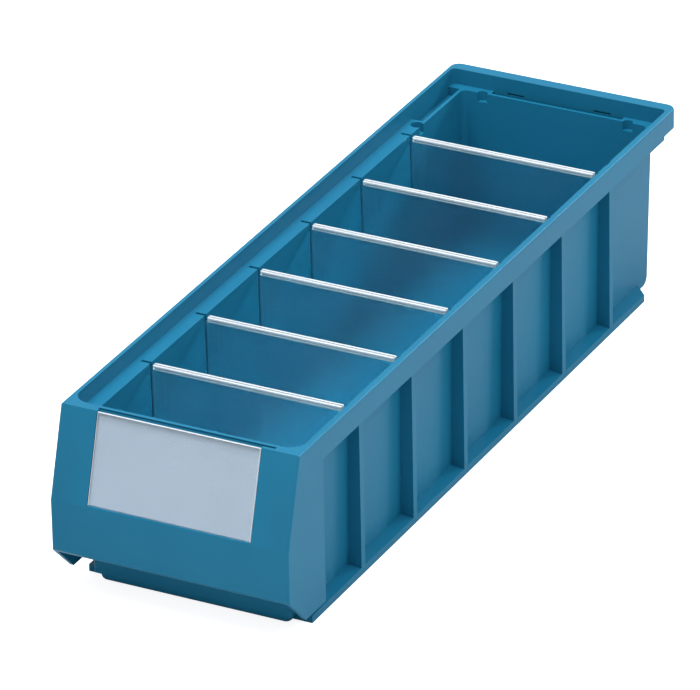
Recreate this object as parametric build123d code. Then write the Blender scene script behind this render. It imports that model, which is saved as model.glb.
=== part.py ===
from build123d import *
import os

# Stackable shelf bin, injection moulded in polypropylene, with six clear cross dividers that
# drop into slots and a card label behind a clear cover.  Millimetres, +Z up, front towards -Y.
# The origin is the middle of the base, on the surface that the bin stands on.

# ---------------------------------------------------------------- driving dimensions
length = 400.0
width = 117.0
height = 90.0

wall = 1.6              # tub walls
skin = 1.8              # rim, hood and cheek skins
floor_thickness = 2.0

stack_depth = 8.0       # how far the ledge lies below the top of the rim
side_reach = 10.1       # rim's outer face to the tub's inner edge, each side
rear_reach = 11.6       # the same at the back
front_reach = 18.4      # the same at the front
side_draft = 1.2        # how much each tub wall leans in from the ledge to the base
rear_draft = 2.6
front_draft = 3.0
tub_corner = 3.0        # upright inner corners of the tub
tub_bottom_radius = 2.9
tub_outer_corner = 1.2  # upright outer corners
tub_rear_radius = 4.8   # outer rounding where the back wall meets the base

rim_side = 2.6          # thickness of the rim where it shows from above
rim_rear = 7.0
rim_drop = 11.8         # height of the rim's outer face along the sides
rim_drop_rear = 10.0    # and across the overhang at the back
rear_overhang = 14.6    # length of the shallower rim at the back
rim_corner = 5.0
rim_edge_radius = 1.2   # rounding along the rim's top outer edge and down the hood's corners
well_front_corner = 8.0
well_rear_corner = 2.5
well_front_step = 0.8   # the rim's front inner face stands this far in front of the tub's

foot_inset = 1.4        # the front foot steps in below this height, ahead of the rails
foot_height = 4.6
foot_radius = 3.0
foot_corner = 3.3

panel_bottom = 23.8     # hood: the front panel hangs clear of the foot as a finger grip
panel_break = 48.0
panel_setback = 12.7    # how far the top of the front leans back
cheek_length = 34.5
cheek_bottom = 8.2
cheek_chamfer = 15.6

rail_reach = 3.0        # how far the base rails stay inside the rim's outer face
rail_height = 3.5
rail_slope = 0.8
rail_lip = 1.8
rail_front = 27.0       # from the bin's front
rail_rear = 24.5        # from the bin's back
rail_end_chamfer = 6.0

divider_count = 6
divider_first = 76.4    # from the bin's front to the middle of the first divider
divider_last = 67.1     # from the middle of the last one to the bin's back
divider_thickness = 1.2
divider_bead = 3.0      # width of the bead on the top edge
divider_bead_height = 2.2
divider_bead_end = 1.5  # how far the bead stops short of the tub's inner edge
bead_groove = 0.8       # groove along the top of the bead
bead_groove_depth = 1.0
bead_groove_offset = 0.1
divider_border = 6.4    # thicker strip at each upright edge
divider_border_extra = 0.5
slot_clearance = 0.2    # each side of the plate
slot_depth = 4.9        # from the tub's inner edge at the ledge
slot_end_clearance = 0.5
rib_width = 3.6
seat_gap = 0.3          # running gap between a dropped-in piece and its seat

pocket_radius = 2.6     # round blind pockets in the rear ledge
pocket_depth = 4.6
pocket_offset = 38.0    # from the centre line
side_pocket_radius = 3.1
side_pocket_offset = 0.8  # their middle, outwards from the tub wall's outer face
side_pocket_back = 55.5  # from the bin's back
pocket_wall = 1.3
trough_depth = 4.5      # the ledge behind the side pockets is sunk by this
corner_pad = 4.6        # length of the full-height ledge in each rear corner
vent_length = 8.8       # thin slots in the rear rim, each side of the middle
vent_height = 1.0
vent_depth = 1.6
vent_offset = 22.6

label_width = 80.0
label_foot = 1.2        # up the slope from the panel's break to the recess
card_thickness = 0.4
cover_thickness = 0.8
label_play = 0.3        # sideways, each side
label_gap = 0.12        # between the layers of the label
label_slot_width = 1.5  # opening behind the label in the top of the front
label_slot_left = 0.8   # how far it runs past the label at each end
label_slot_right = 6.0
card_inset = 0.2        # the card is this much smaller than its cover all round
past = 1.0              # how far a cutting shape runs past the face it opens

# ---------------------------------------------------------------- worked out from them
half_w = width / 2
front_y = -length / 2
rear_y = length / 2
ledge_z = height - stack_depth
ledge_under_z = ledge_z - skin
tub_half_top = half_w - side_reach
tub_rear_top = rear_y - rear_reach
tub_front_top = front_y + front_reach
tub_half_base = tub_half_top - side_draft
tub_rear_base = tub_rear_top - rear_draft
tub_front_base = tub_front_top + front_draft
rib_half = half_w - rail_reach
slot_half = tub_half_top + slot_depth
divider_pitch = (length - divider_first - divider_last) / (divider_count - 1)
divider_ys = [front_y + divider_first + i * divider_pitch for i in range(divider_count)]
side_pocket_y = rear_y - side_pocket_back
cheek_y = front_y + cheek_length
well_half = half_w - rim_side
well_rear = rear_y - rim_rear


def block(x0, x1, y0, y1, z0, z1):
    """A box between two opposite corners."""
    centre = Pos((x0 + x1) / 2, (y0 + y1) / 2, (z0 + z1) / 2)
    return centre * Box(x1 - x0, y1 - y0, z1 - z0)


def both_sides(shape):
    """A shape and its mirror image across the bin's centre plane."""
    return [shape, mirror(shape, about=Plane.YZ)]


def upright_edges(solid, least_length):
    """The long, nearly vertical edges of a solid."""
    return [e for e in solid.edges() if abs(e.tangent_at(0.5).Z) > 0.95 and e.length > least_length]


def side_profile(points, x0, x1):
    """A closed outline in the YZ plane, pushed from x0 to x1."""
    face = make_face(Polyline(*[(0, y, z) for y, z in points], close=True))
    return Pos(x0, 0, 0) * extrude(face, amount=x1 - x0, dir=(1, 0, 0))


def tub_section(z, grow):
    """The tub's inner rectangle at height z, grown outwards by a wall."""
    t = z / ledge_z
    x = tub_half_base + (tub_half_top - tub_half_base) * t + grow
    y0 = tub_front_base + (tub_front_top - tub_front_base) * t - grow
    y1 = tub_rear_base + (tub_rear_top - tub_rear_base) * t + grow
    return Plane.XY.offset(z) * Pos(0, (y0 + y1) / 2) * Rectangle(2 * x, y1 - y0)


def tub_outside():
    """The drafted tub, rounded at the back of its base, with the front foot set in."""
    body = loft([tub_section(0, wall), tub_section(ledge_z, wall)])
    base = body.edges().group_by(Axis.Z)[0].sort_by(Axis.Y)[-1]
    body = fillet(base, tub_rear_radius)
    body = fillet(upright_edges(body, height / 2), tub_outer_corner)
    half = tub_half_base + wall - foot_inset
    foot_y = tub_front_base - wall + foot_inset
    foot = block(-half, half, foot_y, rear_y, 0, foot_height + past)
    foot = fillet(foot.edges().filter_by(Axis.Z).group_by(Axis.Y)[0], foot_corner)
    foot = fillet(foot.edges().group_by(Axis.Z)[0], foot_radius)
    ring = block(-half_w, half_w, front_y, front_y + rail_front, -past, foot_height)
    return body - (ring - foot)


def tub_inside():
    """The space for goods, up to the ledge, with a rounded bottom."""
    space = loft([tub_section(floor_thickness, 0), tub_section(ledge_z + past, 0)])
    space = fillet(upright_edges(space, height / 2), tub_corner)
    return fillet(space.edges().group_by(Axis.Z)[0], tub_bottom_radius)


def rim_outside():
    """The rim's outer block: deeper along the sides than across the back overhang."""
    top = [
        (front_y + panel_setback, height),
        (rear_y, height),
        (rear_y, height - rim_drop_rear),
        (rear_y - rear_overhang, height - rim_drop_rear),
        (rear_y - rear_overhang, height - rim_drop),
        (front_y + panel_setback, height - rim_drop),
    ]
    bar = side_profile(top, -half_w, half_w)
    corners = bar.edges().filter_by(Axis.Z).group_by(Axis.Y)[-1]
    return fillet(corners, rim_corner)


def outer_block():
    """The rim and the hood before they are hollowed, with their outer edges rounded.

    The rounding runs along the top outer edge and down the two front corners of the hood.
    """
    block_of_both = rim_outside() + hood_outside()
    top = block_of_both.faces().sort_by(Axis.Z)[-1]
    front = top.edges().sort_by(Axis.Y)[0]
    rim_edges = [e for e in top.edges() if e.center() != front.center()]
    hood_corners = [
        e for e in block_of_both.edges()
        if abs(abs(e.center().X) - half_w) < 0.01
        and e.center().Y < front_y + panel_setback
        and panel_bottom < e.center().Z < height - rim_edge_radius
    ]
    return fillet(rim_edges + hood_corners, rim_edge_radius)


def hood_outside():
    """The front: a panel that leans back above its break, and two cheeks that wrap the sides."""
    outline = [
        (front_y + panel_setback, height),
        (front_y, panel_break),
        (front_y, panel_bottom),
        (front_y + cheek_chamfer, panel_bottom - cheek_chamfer),
        (front_y + cheek_chamfer, cheek_bottom),
        (cheek_y, cheek_bottom),
        (cheek_y, height),
    ]
    if panel_bottom - cheek_chamfer <= cheek_bottom:
        outline[3:5] = [(front_y + panel_bottom - cheek_bottom, cheek_bottom)]
    return side_profile(outline, -half_w, half_w)


def hood_hollow():
    """The open underside of the hood, which is the finger grip."""
    lean = panel_setback / (height - panel_break)
    top = ledge_under_z
    outline = [
        (front_y + skin + lean * (top - panel_break), top),
        (front_y + skin, panel_break),
        (front_y + skin, -past),
        (cheek_y - skin, -past),
        (cheek_y - skin, top),
    ]
    return side_profile(outline, -half_w + skin, half_w - skin)


def well():
    """The stacking recess above the ledge, which the base of the next bin drops into."""
    front = tub_front_top - well_front_step
    space = block(-well_half, well_half, front, well_rear, ledge_z, height + past)
    uprights = space.edges().filter_by(Axis.Z).group_by(Axis.Y)
    space = fillet(uprights[0], well_front_corner)
    return fillet(space.edges().filter_by(Axis.Z).group_by(Axis.Y)[-1], well_rear_corner)


def rim_underside():
    """The hollow below the ledge, between the tub and the rim's outer skin."""
    low = block(
        -half_w + rim_side, half_w - rim_side,
        cheek_y, rear_y - rim_rear + skin,
        height - rim_drop - past, ledge_under_z,
    )
    rear = block(
        -half_w + rim_side, half_w - rim_side,
        rear_y - rim_rear + skin, rear_y - skin,
        height - rim_drop - past, height - skin,
    )
    return low + rear


def trough(x0, x1, y0, y1):
    """A sunk length of the ledge."""
    return block(x0, x1, y0, y1, ledge_z - trough_depth, ledge_z + 0.01)


def troughs():
    """The sunk lengths of the ledge at the back, behind the side pockets."""
    inner = tub_half_top + wall
    sides = both_sides(trough(
        inner, well_half,
        side_pocket_y + side_pocket_radius + pocket_wall, well_rear - corner_pad,
    ))
    back_half = pocket_offset - pocket_radius - pocket_wall
    back = trough(-back_half, back_half, tub_rear_top + wall, well_rear)
    return sides + [back]


def trough_floors():
    """The floor that carries each sunk length, one skin thick."""
    z0 = ledge_z - trough_depth - skin
    z1 = ledge_z - trough_depth + 0.01
    inner = tub_half_top + wall / 2
    side_y0 = side_pocket_y + side_pocket_radius
    sides = both_sides(block(inner, well_half + 0.1, side_y0, well_rear - corner_pad + skin, z0, ledge_z))
    back_half = pocket_offset - pocket_radius
    back = block(-back_half, back_half, tub_rear_top + wall / 2, well_rear + skin, z0, ledge_z)
    return sides + [back]


def pocket_places():
    """Where the round pockets are, with their radii."""
    places = []
    for side in (-1, 1):
        places.append((side * pocket_offset, tub_rear_top, pocket_radius))
        side_x = tub_half_top + wall + side_pocket_offset
        places.append((side * side_x, side_pocket_y, side_pocket_radius))
    return places


def pocket(x, y, radius, top, bottom):
    """An upright cylinder."""
    return Pos(x, y, (top + bottom) / 2) * Cylinder(radius, top - bottom)


def rails():
    """The base rails: an angle along each side that lands on the ledge of the bin below."""
    y0 = front_y + rail_front
    y1 = rear_y - rail_rear
    top = rail_height + rail_slope
    inner = tub_half_base + wall / 2
    section = [
        (inner, 0), (rib_half, 0), (rib_half, rail_height),
        (tub_half_base + wall, top), (inner, top),
    ]
    face = make_face(Polyline(*[(x, y0, z) for x, z in section], close=True))
    bar = extrude(face, amount=y1 - y0, dir=(0, 1, 0))
    hollow = block(
        tub_half_base + wall, rib_half - rail_lip,
        y0 + rail_lip, y1 - rail_end_chamfer - rail_lip,
        -past, rail_height - skin,
    )
    corner = make_face(Polyline(
        (rib_half + 0.1, y1 - rail_end_chamfer - 0.1, -1),
        (rib_half + 0.1, y1 + 0.1, -1),
        (rib_half - rail_end_chamfer - 0.1, y1 + 0.1, -1),
        close=True,
    ))
    return both_sides(bar - hollow - extrude(corner, amount=height, dir=(0, 0, 1)))


def ribs():
    """The outside ribs, each of which holds one end of a divider slot."""
    rib_root = (tub_half_base + tub_half_top + wall) / 2
    shapes = []
    for y in divider_ys:
        rib = block(
            rib_root, rib_half, y - rib_width / 2, y + rib_width / 2,
            rail_height - 0.5, ledge_z - skin / 2,
        )
        shapes += both_sides(rib)
    return shapes


def slots():
    """The slots for the dividers, open at the ledge."""
    half_slot = divider_thickness / 2 + slot_clearance
    bottom = rail_height + rail_slope + seat_gap
    shapes = []
    for y in divider_ys:
        slot = block(
            tub_half_base - past, slot_half, y - half_slot, y + half_slot,
            bottom + tub_bottom_radius / 2, ledge_z + past,
        )
        shapes += both_sides(slot)
    return shapes


# ---------------------------------------------------------------- label geometry
lean_ratio = panel_setback / (height - panel_break)
slope_length = (panel_setback ** 2 + (height - panel_break) ** 2) ** 0.5
slope_up = Vector(0, panel_setback / slope_length, (height - panel_break) / slope_length)
slope_out = Vector(0, -slope_up.Z, slope_up.Y)
slope_plane = Plane(
    origin=Vector(0, front_y, panel_break), x_dir=Vector(1, 0, 0), z_dir=slope_out,
)
recess_depth = card_thickness + cover_thickness + 3 * label_gap
label_half = label_width / 2


def on_slope(x0, x1, low, high, back, front):
    """A flat block on the leaning panel: sideways, up the slope, and out from its face."""
    local = block(x0, x1, low, high, back, front)
    return slope_plane * local


def label_recess():
    """The shallow recess in the leaning panel, open at the top."""
    return on_slope(
        -label_half - label_play, label_half + label_play,
        label_foot, slope_length + stack_depth, -recess_depth, stack_depth,
    )


def label_backing():
    """The thicker part of the panel behind the recess."""
    return on_slope(
        -label_half - label_play - skin, label_half + label_play + skin,
        label_foot - skin, slope_length - stack_depth, -recess_depth - skin, -skin / 2,
    )


def label_slot():
    """The narrow opening behind the label in the top of the front."""
    y0 = front_y + panel_setback + recess_depth / slope_up.Z
    return block(
        -label_half - label_slot_left, label_half + label_slot_right,
        y0, y0 + label_slot_width, ledge_z - past, height + past,
    )


def label_layer(back, thickness, inset):
    """One flat layer of the label, smaller than the recess by the play and by the inset."""
    return on_slope(
        -label_half + inset, label_half - inset,
        label_foot + seat_gap + inset, slope_length - seat_gap - inset / 2,
        back, back + thickness,
    )


# ---------------------------------------------------------------- the bin
def bin_body():
    """The whole one-piece moulding."""
    body = tub_outside()
    body = body + (outer_block() - rim_underside() - hood_hollow()) + label_backing()
    for shape in ribs() + rails() + trough_floors():
        body = body + shape
    for x, y, radius in pocket_places():
        boss_bottom = ledge_z - pocket_depth - pocket_wall
        body = body + pocket(x, y, radius + pocket_wall, ledge_z - skin / 2, boss_bottom)
    body = body - tub_inside() - well()
    for x, y, radius in pocket_places():
        body = body - pocket(x, y, radius, ledge_z + past, ledge_z - pocket_depth)
    for shape in troughs() + slots():
        body = body - shape
    body = body - label_recess() - label_slot()
    for side in (-1, 1):
        x = side * vent_offset
        body = body - block(
            x - vent_length / 2, x + vent_length / 2, well_rear - past, well_rear + vent_depth,
            ledge_z - vent_height / 2, ledge_z + vent_height / 2,
        )
    return body


def divider(y):
    """A clear plate with a round bead on its top edge and a thicker strip at each end."""
    half = slot_half - slot_end_clearance
    low = rail_height + rail_slope + seat_gap + tub_bottom_radius / 2 + seat_gap
    top = ledge_z - seat_gap
    bottom = floor_thickness + seat_gap
    inner = tub_half_base - tub_bottom_radius
    face = make_face(Polyline(
        (-half, 0, low), (-inner, 0, low), (-inner, 0, bottom), (inner, 0, bottom),
        (inner, 0, low), (half, 0, low), (half, 0, top - divider_bead_height),
        (-half, 0, top - divider_bead_height),
        close=True,
    ))
    plate = extrude(face, amount=divider_thickness / 2, both=True, dir=(0, 1, 0))
    bead = block(
        -tub_half_top + divider_bead_end, tub_half_top - divider_bead_end,
        -divider_bead / 2, divider_bead / 2, top - divider_bead_height, top,
    )
    bead = fillet(bead.edges().filter_by(Axis.X), divider_bead_height * 0.2)
    bead = bead - block(
        -half_w, half_w, bead_groove_offset - bead_groove / 2, bead_groove_offset + bead_groove / 2,
        top - bead_groove_depth, top + past,
    )
    strip_half = divider_thickness / 2 + divider_border_extra
    strip = block(
        tub_half_base - seat_gap - divider_border, tub_half_base - seat_gap,
        -strip_half, strip_half,
        floor_thickness + tub_bottom_radius + seat_gap, top - divider_bead_height,
    )
    shape = plate + bead
    for strip in both_sides(strip):
        shape = shape + strip
    return Pos(0, y, 0) * shape


os.makedirs("parts", exist_ok=True)
export_step(bin_body(), "parts/bin_body.step")
for number, y in enumerate(divider_ys, start=1):
    export_step(divider(y), f"parts/divider_{number}.step")
card = label_layer(-recess_depth + label_gap, card_thickness, card_inset)
cover = label_layer(-cover_thickness, cover_thickness, 0)
export_step(card, "parts/label_card.step")
export_step(cover, "parts/label_cover.step")
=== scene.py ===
import math

import bmesh
import bpy
import numpy as np
from mathutils import Matrix, Vector


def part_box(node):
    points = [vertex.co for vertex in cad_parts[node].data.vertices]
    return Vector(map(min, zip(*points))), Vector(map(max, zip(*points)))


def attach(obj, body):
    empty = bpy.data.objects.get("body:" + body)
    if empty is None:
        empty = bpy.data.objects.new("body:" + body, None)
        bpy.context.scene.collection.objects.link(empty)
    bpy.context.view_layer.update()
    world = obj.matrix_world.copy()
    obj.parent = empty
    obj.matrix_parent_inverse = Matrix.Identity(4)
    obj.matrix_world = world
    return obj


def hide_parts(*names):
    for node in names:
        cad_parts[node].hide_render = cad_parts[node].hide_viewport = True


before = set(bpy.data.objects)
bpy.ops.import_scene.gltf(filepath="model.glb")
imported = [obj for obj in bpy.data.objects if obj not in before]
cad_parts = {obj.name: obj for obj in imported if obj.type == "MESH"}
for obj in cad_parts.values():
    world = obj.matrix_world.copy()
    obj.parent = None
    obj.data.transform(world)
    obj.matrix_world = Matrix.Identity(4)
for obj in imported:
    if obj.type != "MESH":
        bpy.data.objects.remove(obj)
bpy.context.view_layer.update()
scene = bpy.context.scene
scene.view_settings.view_transform = "Standard"

# ---------------------------------------------------------------- camera
# A long lens 3.4 metres away looks down on the label end from the front right, so that the
# front, one side and all seven compartments show.
SENSOR_WIDTH = 36.0
LENS = 381.97
FAR_CLIP = 50.0
CAMERA_PLACE = (1.375899, -2.670454, 1.585430)
CAMERA_RIGHT = (0.89106632, 0.45354158, -0.01734506)
CAMERA_UP = (-0.19336241, 0.41391552, 0.88954197)
CAMERA_BACK = (0.41062366, -0.78928701, 0.45652407)
camera_data = bpy.data.cameras.new("studio_camera")
camera_data.sensor_width = SENSOR_WIDTH
camera_data.lens = LENS
camera_data.clip_end = FAR_CLIP
camera = bpy.data.objects.new("studio_camera", camera_data)
scene.collection.objects.link(camera)
camera_turn = Matrix((CAMERA_RIGHT, CAMERA_UP, CAMERA_BACK)).transposed().to_4x4()
camera.matrix_world = Matrix.Translation(CAMERA_PLACE) @ camera_turn
scene.camera = camera


# ---------------------------------------------------------------- floor and studio light
# A wide sheet of matt pale card lies under the bin.  A big soft lamp hangs over it, others stand to
# the right, in front and behind on the right, and the white walls of the room light the rest.
SPECK_CORE = 0.012      # a speck is whole inside this radius, as a share of its cell
SPECK_RIM = 0.026       # and gone outside this one
SPECK_RARITY = 0.72     # the share of cells that have none
MOTTLE_LOW = 0.3        # most of the noise lies between these two
MOTTLE_HIGH = 0.7


def add_node(tree, kind, inputs=None, **fields):
    """Adds a node, sets its own fields, and fills or links its inputs by name or number."""
    node = tree.nodes.new(kind)
    for field, value in fields.items():
        setattr(node, field, value)
    for key, value in (inputs or {}).items():
        if isinstance(value, bpy.types.NodeSocket):
            tree.links.new(value, node.inputs[key])
        else:
            node.inputs[key].default_value = value
    return node


def new_group(name, inputs, outputs):
    """A shader node group with named number inputs and outputs, its input node and its output node."""
    group = bpy.data.node_groups.new(name, "ShaderNodeTree")
    for label, value in inputs.items():
        socket = group.interface.new_socket(label, in_out="INPUT", socket_type="NodeSocketFloat")
        socket.default_value = value
    for label in outputs:
        group.interface.new_socket(label, in_out="OUTPUT", socket_type="NodeSocketFloat")
    return group, add_node(group, "NodeGroupInput"), add_node(group, "NodeGroupOutput")


def fine_grain_group():
    """Fine noise as a height, slow noise as a mottle, and a mask of rare round specks.

    A speck's mask falls from 1 to 0 between the two radii round the middle of a Voronoi cell.
    """
    group, given, result = new_group(
        "fine_grain",
        {"Grain per metre": 900.0, "Mottle per metre": 14.0, "Speck per metre": 60.0},
        ("Height", "Mottle", "Specks"),
    )
    place = add_node(group, "ShaderNodeTexCoord").outputs["Object"]
    fine = add_node(group, "ShaderNodeTexNoise", {
        "Vector": place, "Scale": given.outputs["Grain per metre"], "Detail": 3.0, "Roughness": 0.6,
    })
    slow = add_node(group, "ShaderNodeTexNoise", {
        "Vector": place, "Scale": given.outputs["Mottle per metre"], "Detail": 4.0, "Roughness": 0.55,
    })
    cells = add_node(group, "ShaderNodeTexVoronoi", {
        "Vector": place, "Scale": given.outputs["Speck per metre"], "Randomness": 1.0,
    })
    near = add_node(group, "ShaderNodeMapRange", {
        "Value": cells.outputs["Distance"], "From Min": SPECK_CORE, "From Max": SPECK_RIM,
        "To Min": 1.0, "To Max": 0.0,
    })
    chosen = add_node(group, "ShaderNodeSeparateColor", {"Color": cells.outputs["Color"]})
    rare = add_node(group, "ShaderNodeMath", {0: chosen.outputs["Red"], 1: SPECK_RARITY},
                    operation="GREATER_THAN")
    specks = add_node(group, "ShaderNodeMath", {0: near.outputs["Result"], 1: rare.outputs[0]},
                      operation="MULTIPLY")
    group.links.new(fine.outputs["Fac"], result.inputs["Height"])
    group.links.new(slow.outputs["Fac"], result.inputs["Mottle"])
    group.links.new(specks.outputs[0], result.inputs["Specks"])
    return group


fine_grain = fine_grain_group()


def new_material(name):
    """A new material, its tree, and its Principled shader."""
    material = bpy.data.materials.new(name)
    material.use_nodes = True
    return material, material.node_tree, material.node_tree.nodes["Principled BSDF"]


def add_grain(tree, grain_per_metre, mottle_per_metre, speck_per_metre=60.0):
    """The fine grain group, placed in one material with that material's own values per metre."""
    node = add_node(tree, "ShaderNodeGroup", node_tree=fine_grain)
    node.inputs["Grain per metre"].default_value = grain_per_metre
    node.inputs["Mottle per metre"].default_value = mottle_per_metre
    node.inputs["Speck per metre"].default_value = speck_per_metre
    return node


def bump_from(tree, shader, height, depth):
    """Tilts the shader's normal by a height from 0 to 1 that stands for depth metres."""
    bump = add_node(tree, "ShaderNodeBump", {"Height": height, "Distance": depth, "Strength": 1.0})
    tree.links.new(bump.outputs["Normal"], shader.inputs["Normal"])


def blend_colours(tree, amount, low, high):
    """A colour that goes from low to high with amount, which is a node's output."""
    mix = add_node(tree, "ShaderNodeMix", {"Factor": amount}, data_type="RGBA")
    for label, colour in (("A", low), ("B", high)):
        socket = [s for s in mix.inputs if s.name == label and s.type == "RGBA"][0]
        if isinstance(colour, bpy.types.NodeSocket):
            tree.links.new(colour, socket)
        else:
            socket.default_value = (*colour, 1.0)
    return [s for s in mix.outputs if s.type == "RGBA"][0]


def noise_between(tree, noise, low, high):
    """Noise carried from its own range to the one between low and high."""
    node = add_node(tree, "ShaderNodeMapRange", {
        "Value": noise, "From Min": MOTTLE_LOW, "From Max": MOTTLE_HIGH,
        "To Min": low, "To Max": high,
    })
    return node.outputs["Result"]


def link_object(name, mesh):
    """A new object for a mesh, in the scene, at the origin."""
    piece = bpy.data.objects.new(name, mesh)
    scene.collection.objects.link(piece)
    return piece


def disc_mesh(name, radius, height, steps):
    """A flat disc: its point k is at radius times the cosine and sine of 2 pi k / steps."""
    angle = np.linspace(0.0, 2.0 * np.pi, steps, endpoint=False)
    points = np.column_stack([radius * np.cos(angle), radius * np.sin(angle), np.full(steps, height)])
    mesh = bpy.data.meshes.new(name)
    mesh.from_pydata(points.tolist(), [], [list(range(steps))])
    return mesh


FLOOR_RADIUS = 6.0
FLOOR_DROP = 0.0001     # keeps the floor just clear of the base
FLOOR_STEPS = 96
FLOOR_LIFT = 0.84       # a glow that only the camera sees: it leaves a trace of the shadow
FLOOR_DARK = (0.60, 0.60, 0.60)
FLOOR_LIGHT = (0.64, 0.64, 0.64)
floor = link_object("floor_card", disc_mesh("floor_card", FLOOR_RADIUS, -FLOOR_DROP, FLOOR_STEPS))
floor_material, tree, shader = new_material("white_card_floor")
grain = add_grain(tree, grain_per_metre=700.0, mottle_per_metre=3.0)
floor_colour = blend_colours(tree, grain.outputs["Mottle"], FLOOR_DARK, FLOOR_LIGHT)
tree.links.new(floor_colour, shader.inputs["Base Color"])
floor_roughness = noise_between(tree, grain.outputs["Mottle"], 0.75, 0.85)
tree.links.new(floor_roughness, shader.inputs["Roughness"])
seen = add_node(tree, "ShaderNodeLightPath").outputs["Is Camera Ray"]
lift = add_node(tree, "ShaderNodeMath", {0: seen, 1: FLOOR_LIFT}, operation="MULTIPLY")
tree.links.new(lift.outputs[0], shader.inputs["Emission Strength"])
shader.inputs["Emission Color"].default_value = (1.0, 1.0, 1.0, 1.0)
floor.data.materials.append(floor_material)

ROOM_COLOUR = (0.96, 0.98, 1.0, 1.0)
ROOM_STRENGTH = 0.62
room = bpy.data.worlds.new("white_room")
room.use_nodes = True
walls = room.node_tree.nodes["Background"]
walls.inputs["Color"].default_value = ROOM_COLOUR
walls.inputs["Strength"].default_value = ROOM_STRENGTH
scene.world = room


def soft_lamp(name, place, target, size, power):
    """A square area lamp at place, facing target."""
    data = bpy.data.lights.new(name, "AREA")
    data.shape = "SQUARE"
    data.size = size
    data.energy = power
    lamp = bpy.data.objects.new(name, data)
    scene.collection.objects.link(lamp)
    lamp.location = place
    lamp.rotation_euler = (Vector(target) - Vector(place)).to_track_quat("-Z", "Y").to_euler()


# name, place, what it faces, edge length in metres, power in watts
LAMPS = (
    ("lamp_over", (-0.2, -0.4, 2.1), (0.0, 0.0, 0.0), 1.4, 46.0),
    ("lamp_right", (1.5, 0.2, 1.6), (0.0, 0.0, 0.05), 1.0, 12.0),
    ("lamp_front", (-0.3, -2.4, 0.9), (0.0, 0.0, 0.05), 1.2, 2.0),
    ("lamp_back", (1.1, 2.0, 1.0), (0.0, 0.0, 0.05), 0.32, 18.0),
)
for lamp in LAMPS:
    soft_lamp(*lamp)

# ---------------------------------------------------------------- the bin
# The bin is one injection moulding in blue polypropylene, with a satin face from the mould.  Its
# edges are broken by a small radius, which catches the light as a line; they are glossier, and
# their paler blue is a painted highlight.
EDGE_RADIUS = 0.00035
EDGE_STEPS = 2
SHARP_ANGLE = math.radians(30.0)
FLAT_ANGLE = math.radians(0.5)
SAME_POINT = 2e-6


def rounded_copy(node, name):
    """A copy of a CAD node's mesh, its loose triangles joined and its flat faces made whole."""
    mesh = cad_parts[node].data.copy()
    mesh.name = name
    mesh.materials.clear()
    shape = bmesh.new()
    shape.from_mesh(mesh)
    bmesh.ops.remove_doubles(shape, verts=shape.verts, dist=SAME_POINT)
    bmesh.ops.dissolve_limit(
        shape, angle_limit=FLAT_ANGLE, verts=shape.verts, edges=shape.edges,
    )
    shape.to_mesh(mesh)
    shape.free()
    mesh.shade_smooth()
    return mesh


bin_shell = link_object("bin_shell", rounded_copy("bin_body", "bin_shell"))
edges = bin_shell.modifiers.new("edge_radius", "BEVEL")
edges.width = EDGE_RADIUS
edges.segments = EDGE_STEPS
edges.limit_method = "ANGLE"
edges.angle_limit = SHARP_ANGLE
flat_faces = bin_shell.modifiers.new("flat_faces", "WEIGHTED_NORMAL")
flat_faces.mode = "FACE_AREA"
flat_faces.weight = 100     # the large flat faces keep their own direction

BLUE_DEEP = (0.009, 0.142, 0.258)
BLUE_FULL = (0.012, 0.164, 0.288)
BLUE_SPECK = (0.12, 0.34, 0.46)
GRAIN_DEPTH = 0.00003
POLYPROPYLENE_IOR = 1.45
# The paler edge blues are a painted highlight along the rounded edges.
EDGE_HIGHLIGHT_DEEP = (0.012, 0.205, 0.370)
EDGE_HIGHLIGHT_FULL = (0.016, 0.230, 0.400)


def blue_plastic(name, deep, full, roughness, specular):
    """Blue polypropylene between two colours, with rare lighter specks and a fine mould grain."""
    material, tree, shader = new_material(name)
    grain = add_grain(tree, grain_per_metre=1400.0, mottle_per_metre=11.0, speck_per_metre=45.0)
    mottle = noise_between(tree, grain.outputs["Mottle"], 0.0, 1.0)
    blue = blend_colours(tree, mottle, deep, full)
    blue = blend_colours(tree, grain.outputs["Specks"], blue, BLUE_SPECK)
    tree.links.new(blue, shader.inputs["Base Color"])
    satin = noise_between(tree, grain.outputs["Mottle"], *roughness)
    tree.links.new(satin, shader.inputs["Roughness"])
    shader.inputs["IOR"].default_value = POLYPROPYLENE_IOR
    shader.inputs["Specular IOR Level"].default_value = specular
    bump_from(tree, shader, grain.outputs["Height"], GRAIN_DEPTH)
    return material


satin_blue = blue_plastic(
    "blue_polypropylene", BLUE_DEEP, BLUE_FULL, roughness=(0.30, 0.38), specular=0.15,
)
# The edge material is glossier, and its paler blue is a painted highlight.
highlight_edge_blue = blue_plastic(
    "blue_polypropylene_edge_highlight", EDGE_HIGHLIGHT_DEEP, EDGE_HIGHLIGHT_FULL, roughness=(0.18, 0.24), specular=0.60,
)
bin_shell.data.materials.append(satin_blue)
bin_shell.data.materials.append(highlight_edge_blue)
edges.material = 1      # the rounded edges take the second material
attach(bin_shell, "bin")
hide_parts("bin_body")

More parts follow.
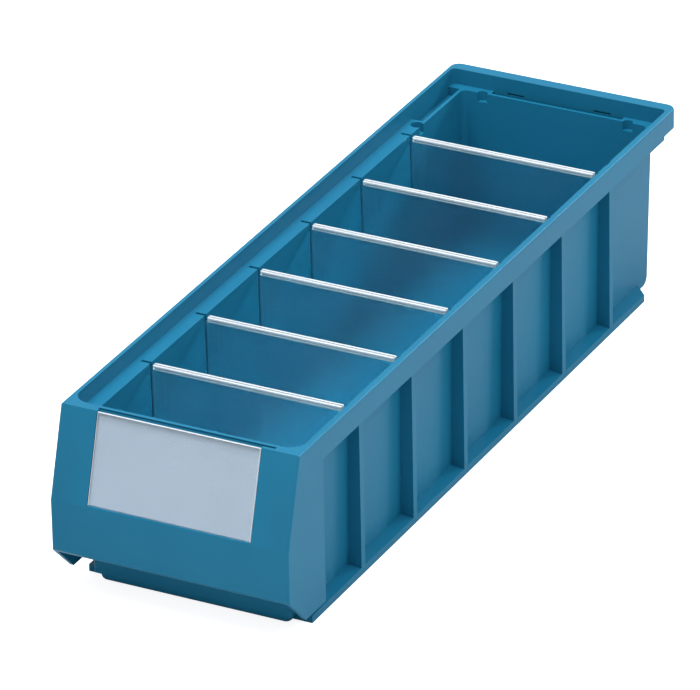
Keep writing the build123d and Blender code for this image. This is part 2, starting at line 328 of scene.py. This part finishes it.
# ---------------------------------------------------------------- the clear dividers
# Each divider is a moulded sheet of clear polystyrene, matt on both faces, with a thicker strip
# near each upright edge and a bead along its top, whose two ridges are polished and carry a
# painted highlight in pale white.  It stands in two slots and lifts straight out.
PLATE_HALF = 0.0006         # half the plate's thickness
STRIP_EXTRA = 0.0003        # how much a strip adds on each face
STRIP_OUTER = 0.0469        # from the middle to a strip's outer side
STRIP_WIDTH = 0.0064
STRIP_EASE = 0.0008         # width of the soft step at a strip's border
FOOT_HALF = 0.0440          # half the plate's width below the step in its sides
FOOT_HEIGHT = 0.0040
BEAD_HALF_LENGTH = 0.0469
BEAD_HEIGHT = 0.0022
BEAD_HALF = 0.0015          # half the bead's width
BEAD_OVERLAP = 0.0003       # how far the plate runs up into the bead
GROOVE_HALF = 0.0004
GROOVE_DEPTH = 0.0010
GROOVE_OFFSET = 0.0001
RIDGE_RADIUS = 0.00045
BEAD_END_RADIUS = 0.0007
# The polished band is glossy, and it carries a painted highlight in pale white.
POLISH_HIGHLIGHT_SPLIT = 0.0009       # below the top, where the polished band ends on the outer faces
POLISH_HIGHLIGHT_DEPTH = 0.0007       # a face whose middle lies above this depth is polished
PLATE_COLUMNS = 12
PLATE_ROWS = 12
FOOT_ROWS = 4
EASE_STEPS = 5
ARC_STEPS = 6
SMOOTH_ANGLE = math.radians(40.0)


def mesh_from(name, points, faces):
    """A mesh from an array of points and a list of faces, its doubles merged, its faces outwards."""
    mesh = bpy.data.meshes.new(name)
    mesh.from_pydata(points.tolist(), [], faces)
    shape = bmesh.new()
    shape.from_mesh(mesh)
    bmesh.ops.remove_doubles(shape, verts=shape.verts, dist=SAME_POINT)
    bmesh.ops.dissolve_degenerate(shape, edges=shape.edges, dist=SAME_POINT)
    bmesh.ops.recalc_face_normals(shape, faces=shape.faces)
    shape.to_mesh(mesh)
    shape.free()
    return mesh


def sheet_parts(front, back):
    """Points and faces of a thin solid between two grids of points, joined round their border."""
    rows, columns = front.shape[:2]
    count = rows * columns
    points = np.concatenate([front.reshape(-1, 3), back.reshape(-1, 3)])
    index = np.arange(count).reshape(rows, columns)
    near = np.stack([index[:-1, :-1], index[:-1, 1:], index[1:, 1:], index[1:, :-1]], axis=-1)
    near = near.reshape(-1, 4)
    border = np.concatenate([index[0], index[1:, -1], index[-1, -2::-1], index[-2:0:-1, 0]])
    ahead = np.roll(border, -1)
    wall = np.stack([ahead, border, border + count, ahead + count], axis=-1)
    faces = np.concatenate([near, near[:, ::-1] + count, wall])
    return points, faces.tolist()


def bar_parts(outline, stations, scales):
    """Points and faces of a bar: the outline in y and z carried along x, scaled about its middle.

    Ring k is the middle plus scales[k] times (outline minus middle), at x = stations[k].
    """
    middle = outline.mean(axis=0)
    rings = middle + scales[:, None, None] * (outline - middle)
    x = np.broadcast_to(stations[:, None, None], rings.shape[:2] + (1,))
    points = np.concatenate([x, rings], axis=-1).reshape(-1, 3)
    ring_count, size = rings.shape[:2]
    index = np.arange(ring_count * size).reshape(ring_count, size)
    turned = np.roll(index, -1, axis=1)
    sides = np.stack([index[:-1], turned[:-1], turned[1:], index[1:]], axis=-1).reshape(-1, 4)
    return points, sides.tolist() + [index[0].tolist(), index[-1, ::-1].tolist()]


def arc(middle, radius, start, end):
    """Points on a circle between two angles in degrees: middle + radius (cosine, sine)."""
    angle = np.radians(np.linspace(start, end, ARC_STEPS))
    return np.array(middle) + radius * np.column_stack([np.cos(angle), np.sin(angle)])


def smooth_rise(value, start, width):
    """0 before start, 1 past start + width, and 3 t squared - 2 t cubed between."""
    t = np.clip((value - start) / width, 0.0, 1.0)
    return t * t * (3.0 - 2.0 * t)


def plate_parts(low, high):
    """The plate: its faces stand at y = middle -+ (PLATE_HALF + STRIP_EXTRA times a mask of x and z).

    The mask is the product of four smooth steps, one at each side of a strip.  x is cut off at the
    half width, which is less below the step near the foot and beside the bead.
    """
    bead_z = high.z - BEAD_HEIGHT
    step_z = low.z + FOOT_HEIGHT
    ease = STRIP_EASE * np.linspace(0.0, 1.0, EASE_STEPS)
    z_line = np.concatenate([
        np.linspace(low.z, step_z, FOOT_ROWS), step_z + STRIP_EASE + ease,
        np.linspace(step_z + 3.0 * STRIP_EASE, bead_z - 3.0 * STRIP_EASE, PLATE_ROWS),
        bead_z - STRIP_EASE - ease[::-1], [bead_z, bead_z + BEAD_OVERLAP],
    ])
    half_line = np.concatenate([
        np.linspace(0.0, STRIP_OUTER - STRIP_WIDTH, PLATE_COLUMNS)[:-1],
        STRIP_OUTER - STRIP_WIDTH + ease,
        STRIP_OUTER - ease[::-1], [0.5 * (STRIP_OUTER + high.x), high.x],
    ])
    x_line = np.concatenate([-half_line[:0:-1], half_line])
    z, x = np.meshgrid(z_line, x_line, indexing="ij")
    limit = np.where(z <= step_z, FOOT_HALF, np.where(z < bead_z, high.x, BEAD_HALF_LENGTH))
    x = np.clip(x, -limit, limit)
    strip = smooth_rise(np.abs(x), STRIP_OUTER - STRIP_WIDTH, STRIP_EASE)
    strip *= 1.0 - smooth_rise(np.abs(x), STRIP_OUTER - STRIP_EASE, STRIP_EASE)
    strip *= smooth_rise(z, step_z + STRIP_EASE, STRIP_EASE)
    strip *= 1.0 - smooth_rise(z, bead_z - 2.0 * STRIP_EASE, STRIP_EASE)
    half = PLATE_HALF + STRIP_EXTRA * strip
    middle = 0.5 * (low.y + high.y)
    front = np.stack([x, middle - half, z], axis=-1)
    back = np.stack([x, middle + half, z], axis=-1)
    return sheet_parts(front, back)


def bead_parts(low, high):
    """The bead: two round-topped ridges with a groove between, carried along x to rounded ends.

    With t from 0 to a quarter turn, an end ring is at x = end + BEAD_END_RADIUS (1 - cos t) and is
    (1 + sin t) / 2 of the full outline.
    """
    y0 = 0.5 * (low.y + high.y)
    top = high.z
    bottom = top - BEAD_HEIGHT
    r = RIDGE_RADIUS
    turn = top - r
    groove_front = y0 + GROOVE_OFFSET - GROOVE_HALF
    groove_back = y0 + GROOVE_OFFSET + GROOVE_HALF
    outline = np.concatenate([
        [[y0 - BEAD_HALF, top - POLISH_HIGHLIGHT_SPLIT], [y0 - BEAD_HALF, bottom]],
        [[y0 + BEAD_HALF, bottom], [y0 + BEAD_HALF, top - POLISH_HIGHLIGHT_SPLIT]],
        arc((y0 + BEAD_HALF - r, turn), r, 0.0, 90.0),
        arc((groove_back + r, turn), r, 90.0, 180.0)[1:],
        [[groove_back, top - GROOVE_DEPTH], [groove_front, top - GROOVE_DEPTH]],
        arc((groove_front - r, turn), r, 0.0, 90.0),
        arc((y0 - BEAD_HALF + r, turn), r, 90.0, 180.0),
    ])
    quarter = np.linspace(0.0, 0.5 * np.pi, EASE_STEPS)
    swell = 0.5 + 0.5 * np.sin(quarter)
    left = -BEAD_HALF_LENGTH + BEAD_END_RADIUS * (1.0 - np.cos(quarter))
    stations = np.concatenate([left, -left[::-1]])
    scales = np.concatenate([swell, swell[::-1]])
    return bar_parts(outline, stations, scales)


def divider_mesh(name, low, high):
    """The plate and the bead as one mesh."""
    plate_points, plate_faces = plate_parts(low, high)
    bead_points, bead_faces = bead_parts(low, high)
    shift = len(plate_points)
    faces = plate_faces + [[k + shift for k in face] for face in bead_faces]
    return mesh_from(name, np.concatenate([plate_points, bead_points]), faces)


CLEAR_GRAIN_DEPTH = 0.000006
POLISHED_GRAIN_DEPTH = 0.000008
# The polished colours are a painted highlight: a pale white that stands in for the glints in clear
# plastic.
POLISHED_HIGHLIGHT_DARK = (0.84, 0.88, 0.91)
POLISHED_HIGHLIGHT_LIGHT = (0.92, 0.95, 0.97)


def clear_plastic(name, colour, roughness, ior):
    """Clear plastic: a refracting shader, and a tinted clear one for the rays that make shadows."""
    material, tree, shader = new_material(name)
    grain = add_grain(tree, grain_per_metre=500.0, mottle_per_metre=40.0)
    matt = noise_between(tree, grain.outputs["Mottle"], *roughness)
    tree.links.new(matt, shader.inputs["Roughness"])
    shader.inputs["Base Color"].default_value = (*colour, 1.0)
    shader.inputs["Transmission Weight"].default_value = 1.0
    shader.inputs["IOR"].default_value = ior
    bump_from(tree, shader, grain.outputs["Height"], CLEAR_GRAIN_DEPTH)
    path = add_node(tree, "ShaderNodeLightPath")
    clear = add_node(tree, "ShaderNodeBsdfTransparent", {"Color": (*colour, 1.0)})
    both = add_node(tree, "ShaderNodeMixShader", {
        "Fac": path.outputs["Is Shadow Ray"], 1: shader.outputs["BSDF"], 2: clear.outputs["BSDF"],
    })
    tree.links.new(both.outputs["Shader"], tree.nodes["Material Output"].inputs["Surface"])
    return material


# The low index stands for a thin sheet, which bends a ray and then bends it back.
plate_material = clear_plastic(
    "matt_polystyrene", (0.86, 0.98, 1.0), roughness=(0.34, 0.42), ior=1.15,
)
# The polished bead is glossy, and its pale white colour is a painted highlight.
bead_highlight_material, tree, shader = new_material("polished_polystyrene_painted_highlight")
grain = add_grain(tree, grain_per_metre=300.0, mottle_per_metre=35.0)
bead_highlight_colour = blend_colours(tree, grain.outputs["Mottle"], POLISHED_HIGHLIGHT_DARK, POLISHED_HIGHLIGHT_LIGHT)
tree.links.new(bead_highlight_colour, shader.inputs["Base Color"])
polish = noise_between(tree, grain.outputs["Mottle"], 0.06, 0.14)
tree.links.new(polish, shader.inputs["Roughness"])
shader.inputs["Transmission Weight"].default_value = 0.30
shader.inputs["IOR"].default_value = 1.55
bump_from(tree, shader, grain.outputs["Height"], POLISHED_GRAIN_DEPTH)

divider_nodes = sorted(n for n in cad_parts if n.startswith("divider_"))
for node in divider_nodes:
    low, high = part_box(node)
    piece = link_object("clear_" + node, divider_mesh("clear_" + node, low, high))
    piece.data.shade_smooth()
    piece.data.set_sharp_from_angle(angle=SMOOTH_ANGLE)
    piece.data.materials.append(plate_material)
    piece.data.materials.append(bead_highlight_material)
    # Faces near the top take the glossy material with its painted highlight.
    for face in piece.data.polygons:
        face.material_index = int(face.center.z > high.z - POLISH_HIGHLIGHT_DEPTH)
    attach(piece, node)
    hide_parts(node)

# ---------------------------------------------------------------- the label
# A strip of pale card stands in the recess of the leaning front, behind a thin clear cover whose
# cut edges carry a painted highlight in pale white.  Both are held by the recess alone and slide up
# and out.
PANEL_SETBACK = 0.0127      # how far the front leans back
PANEL_RISE = 0.0420         # over this height
LEAN = math.atan2(PANEL_SETBACK, PANEL_RISE)
CARD_THICKNESS = 0.0004
CARD_EDGE = 0.00010         # radius of the front edges
COVER_THICKNESS = 0.0008
COVER_EDGE = 0.00030
CARD_DARK = (0.325, 0.40, 0.49)
CARD_LIGHT = (0.355, 0.435, 0.525)
CARD_SPECK = (0.40, 0.47, 0.56)
PAPER_GRAIN_DEPTH = 0.00002


def leaning_sheet(name, node, thickness, edge):
    """A flat sheet on the leaning front, with rounded front edges.

    With d the distance from the border, the front face lies behind its own plane by
    edge - the root of (edge squared - (edge - d) squared), and in it where d is past edge.
    """
    low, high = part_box(node)
    foot_z = low.z + thickness * math.sin(LEAN)
    tall = (high.z - foot_z) / math.cos(LEAN)
    ease = edge * (1.0 - np.cos(np.linspace(0.0, 0.5 * np.pi, ARC_STEPS)))
    across = np.concatenate([low.x + ease, [0.5 * (low.x + high.x)], high.x - ease[::-1]])
    upward = np.concatenate([ease, [0.5 * tall], tall - ease[::-1]])
    a, x = np.meshgrid(upward, across, indexing="ij")
    from_border = np.minimum(np.minimum(x - low.x, high.x - x), np.minimum(a, tall - a))
    gap = edge - np.clip(from_border, 0.0, edge)
    front = -edge + np.sqrt(np.maximum(edge ** 2 - gap ** 2, 0.0))
    back = np.full_like(front, -thickness)

    def place(out):
        """Grid points at height a up the slope and distance out of it."""
        y = low.y + a * math.sin(LEAN) - out * math.cos(LEAN)
        z = foot_z + a * math.cos(LEAN) + out * math.sin(LEAN)
        return np.stack([x, y, z], axis=-1)

    points, faces = sheet_parts(place(front), place(back))
    return mesh_from(name, points, faces)


card_material, tree, shader = new_material("pale_card")
grain = add_grain(tree, grain_per_metre=1600.0, mottle_per_metre=60.0, speck_per_metre=90.0)
pale = blend_colours(tree, grain.outputs["Mottle"], CARD_DARK, CARD_LIGHT)
pale = blend_colours(tree, grain.outputs["Specks"], pale, CARD_SPECK)
tree.links.new(pale, shader.inputs["Base Color"])
paper = noise_between(tree, grain.outputs["Height"], 0.7, 0.85)
tree.links.new(paper, shader.inputs["Roughness"])
bump_from(tree, shader, grain.outputs["Height"], PAPER_GRAIN_DEPTH)
card_sheet = leaning_sheet("pale_label_card", "label_card", CARD_THICKNESS, CARD_EDGE)
card = link_object("pale_label_card", card_sheet)
card.data.materials.append(card_material)
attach(card, "label_card")
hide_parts("label_card")

cover_material = clear_plastic(
    "clear_cover_sheet", (0.97, 0.985, 0.99), roughness=(0.16, 0.24), ior=1.45,
)
cover_sheet = leaning_sheet("clear_label_cover", "label_cover", COVER_THICKNESS, COVER_EDGE)
cover = link_object("clear_label_cover", cover_sheet)
cover.data.materials.append(cover_material)
# The cover's cut edges take the bead's material, a painted highlight.
cover.data.materials.append(bead_highlight_material)
low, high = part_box("label_cover")
for face in cover.data.polygons:
    near_side = min(face.center.x - low.x, high.x - face.center.x) < COVER_EDGE
    face.material_index = int(near_side or high.z - face.center.z < COVER_EDGE)
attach(cover, "label_cover")
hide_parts("label_cover")
